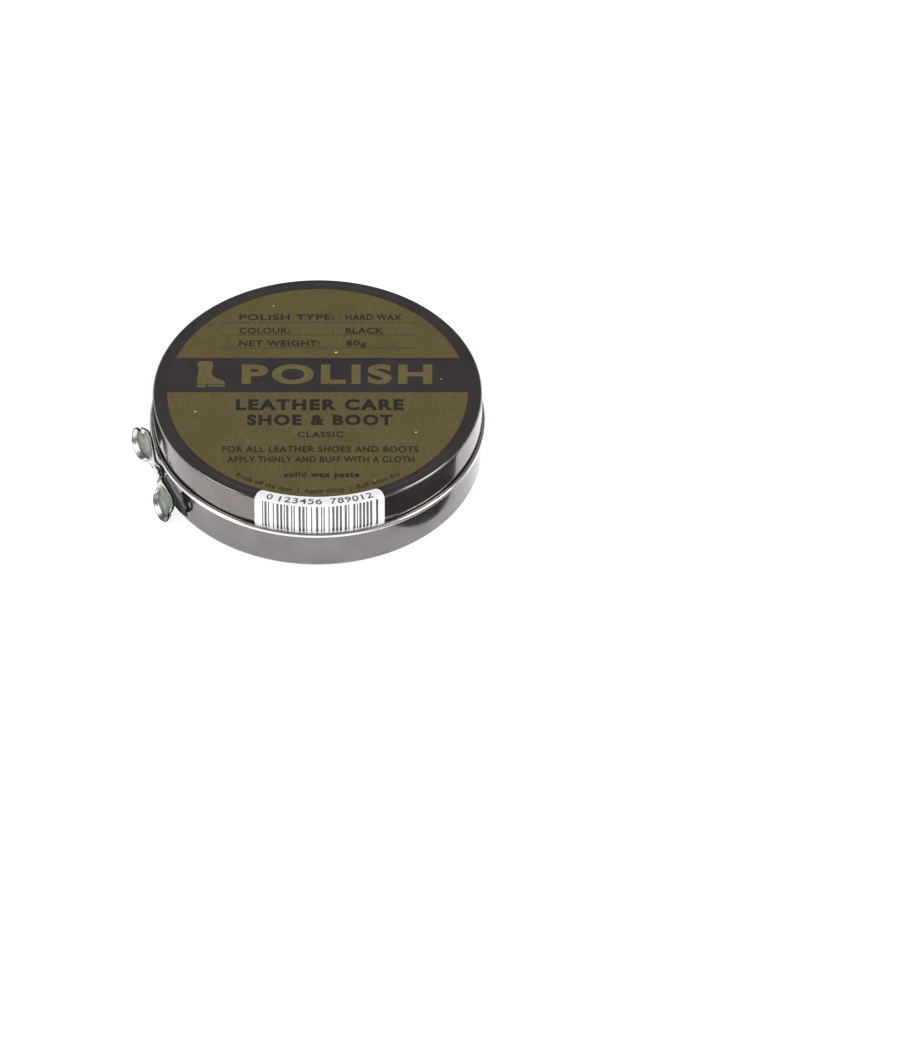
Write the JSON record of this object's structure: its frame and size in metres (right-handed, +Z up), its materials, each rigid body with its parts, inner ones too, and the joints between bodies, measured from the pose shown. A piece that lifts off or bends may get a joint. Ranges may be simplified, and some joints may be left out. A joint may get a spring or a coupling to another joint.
{
  "type": "shoe polish tin",
  "caption": "Round flat shoe polish tin with a slip lid, a cake of black wax polish, and a butterfly opener key riveted to the side of the base.",
  "frame": {"origin": "on the tin's axis, at the underside of the base", "axes": "+Z up along the tin's axis, through the lid; +Y towards the label's top edge; -Y towards the sticker; the opener key is at 202 degrees from +X, between -X and -Y"},
  "size_m": [0.0947, 0.0898, 0.0228],
  "materials": {
    "lid_lacquer": "gloss black lacquer on tinplate, with an olive print on top",
    "base_lacquer": "satin-gloss black lacquer on tinplate",
    "polish_wax": "glossy cast black wax",
    "zinc_plate": "bright zinc plate on pressed steel",
    "rivet_steel": "bright zinc-plated rivet",
    "sticker_paper": "white coated paper with black print"
  },
  "bodies": {
    "base": {"base": "base_lacquer", "polish": "polish_wax", "key_rivet": "rivet_steel"},
    "lid": {"lid": "lid_lacquer", "barcode_sticker": "sticker_paper"},
    "key": {"turn_key": "zinc_plate"}
  },
  "joints": [
    {"name": "lid_lift", "type": "slide", "parent": "base", "child": "lid", "axis": [0, 0, 1], "range_m": [0, 0.04]},
    {"name": "key_turn", "type": "hinge", "parent": "base", "child": "key", "pos_m": [-0.04321, -0.01746, 0.0092], "axis": [-0.9272, -0.3746, 0], "continuous": true}
  ]
}
